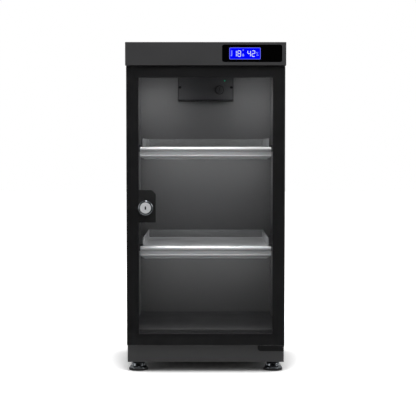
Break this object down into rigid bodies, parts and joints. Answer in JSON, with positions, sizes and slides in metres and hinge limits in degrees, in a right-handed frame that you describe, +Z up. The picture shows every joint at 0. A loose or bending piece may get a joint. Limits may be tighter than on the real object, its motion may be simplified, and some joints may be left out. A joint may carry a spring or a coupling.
{
  "type": "camera dry cabinet",
  "caption": "Upright electronic dry cabinet for cameras and lenses, with a lockable framed glass door, pull-out trays, a humidity display on top and levelling feet.",
  "frame": {"origin": "centre of the bounding box in plan, on the floor under the feet", "axes": "+X to the right seen from the front, +Y from the door to the back, +Z up"},
  "size_m": [0.318, 0.316, 0.6581],
  "materials": {
    "body_paint": "fine matt powder coat, dark grey",
    "inner_paint": "matt grey paint",
    "black_plastic": "moulded, matt black",
    "dark_plastic": "moulded, fine matt texture, dark grey",
    "black_paint": "satin black paint",
    "display_panel": "gloss black",
    "display_lit": "lit blue display",
    "door_glass": "clear toughened glass",
    "rubber": "matt black rubber",
    "chrome": "polished chrome plate",
    "zinc_steel": "zinc plated",
    "brass": "turned",
    "aluminium": "extruded",
    "tray_plastic": "smooth pale grey moulding",
    "circuit_board": "green solder mask",
    "ceramic": "white ceramic",
    "green_lamp": "lit green lens"
  },
  "bodies": {
    "cabinet": {"left_side_panel": "body_paint", "right_side_panel": "body_paint", "roof_panel": "body_paint", "base_panel": "body_paint", "back_panel": "body_paint", "face_frame": "body_paint", "left_liner": "inner_paint", "right_liner": "inner_paint", "ceiling_liner": "inner_paint", "back_liner": "inner_paint", "floor_deck": "inner_paint", "upper_left_runner": "dark_plastic", "upper_right_runner": "dark_plastic", "lower_left_runner": "dark_plastic", "lower_right_runner": "dark_plastic", "strike_plate": "zinc_steel", "upper_hinge_bracket": "black_paint", "lower_hinge_bracket": "black_paint", "panel_screws": "zinc_steel", "foot_inserts": "zinc_steel", "console_cover": "body_paint", "console_fascia": "body_paint", "display_bezel": "display_panel", "lcd_module": "display_lit", "display_board": "circuit_board", "wiring_loom": "black_plastic", "unit_housing": "dark_plastic", "unit_face": "dark_plastic", "potentiometer": "zinc_steel", "status_led": "green_lamp", "control_board": "circuit_board", "peltier_tile": "ceramic", "cold_sink": "aluminium", "hot_sink": "aluminium", "rear_vent_cover": "body_paint", "power_socket": "black_plastic", "humidity_sensor": "ceramic"},
    "door": {"door_glass": "door_glass", "door_frame": "black_plastic", "door_gasket": "rubber", "lock_plate": "black_plastic", "lock_housing": "chrome", "lock_nut": "zinc_steel", "hinge_bushes": "brass"},
    "latch": {"lock_plug": "chrome", "lock_cam": "zinc_steel", "cam_screw": "zinc_steel"},
    "dial": {"humidity_dial": "dark_plastic"},
    "upper_tray": {"upper_tray": "tray_plastic", "upper_tray_front": "tray_plastic"},
    "lower_tray": {"lower_tray": "tray_plastic", "lower_tray_front": "tray_plastic"},
    "foot_front_left": {"front_left_foot": "chrome", "front_left_pad": "rubber"},
    "foot_front_right": {"front_right_foot": "chrome", "front_right_pad": "rubber"},
    "foot_rear_left": {"rear_left_foot": "chrome", "rear_left_pad": "rubber"},
    "foot_rear_right": {"rear_right_foot": "chrome", "rear_right_pad": "rubber"}
  },
  "joints": [
    {"name": "door_hinge", "type": "hinge", "parent": "cabinet", "child": "door", "pos_m": [0.152, -0.142, 0.333], "axis": [0, 0, 1], "range_deg": [0, 160]},
    {"name": "lock_turn", "type": "hinge", "parent": "door", "child": "latch", "pos_m": [-0.1194, -0.142, 0.3306], "axis": [0, 1, 0], "range_deg": [0, 90]},
    {"name": "dial_turn", "type": "hinge", "parent": "cabinet", "child": "dial", "pos_m": [0.0298, 0.074, 0.5743], "axis": [0, 1, 0], "range_deg": [-135, 135]},
    {"name": "upper_tray_slide", "type": "slide", "parent": "cabinet", "child": "upper_tray", "axis": [0, -1, 0], "range_m": [0, 0.14]},
    {"name": "lower_tray_slide", "type": "slide", "parent": "cabinet", "child": "lower_tray", "axis": [0, -1, 0], "range_m": [0, 0.14]},
    {"name": "foot_front_left_level", "type": "slide", "parent": "cabinet", "child": "foot_front_left", "axis": [0, 0, 1], "range_m": [-0.01, 0]},
    {"name": "foot_front_right_level", "type": "slide", "parent": "cabinet", "child": "foot_front_right", "axis": [0, 0, 1], "range_m": [-0.01, 0]},
    {"name": "foot_rear_left_level", "type": "slide", "parent": "cabinet", "child": "foot_rear_left", "axis": [0, 0, 1], "range_m": [-0.01, 0]},
    {"name": "foot_rear_right_level", "type": "slide", "parent": "cabinet", "child": "foot_rear_right", "axis": [0, 0, 1], "range_m": [-0.01, 0]}
  ],
  "couplings": [
    {"joint": "upper_tray_slide", "follows": "door_hinge", "m_per_rad": 0.05},
    {"joint": "lower_tray_slide", "follows": "door_hinge", "m_per_rad": 0.05}
  ]
}
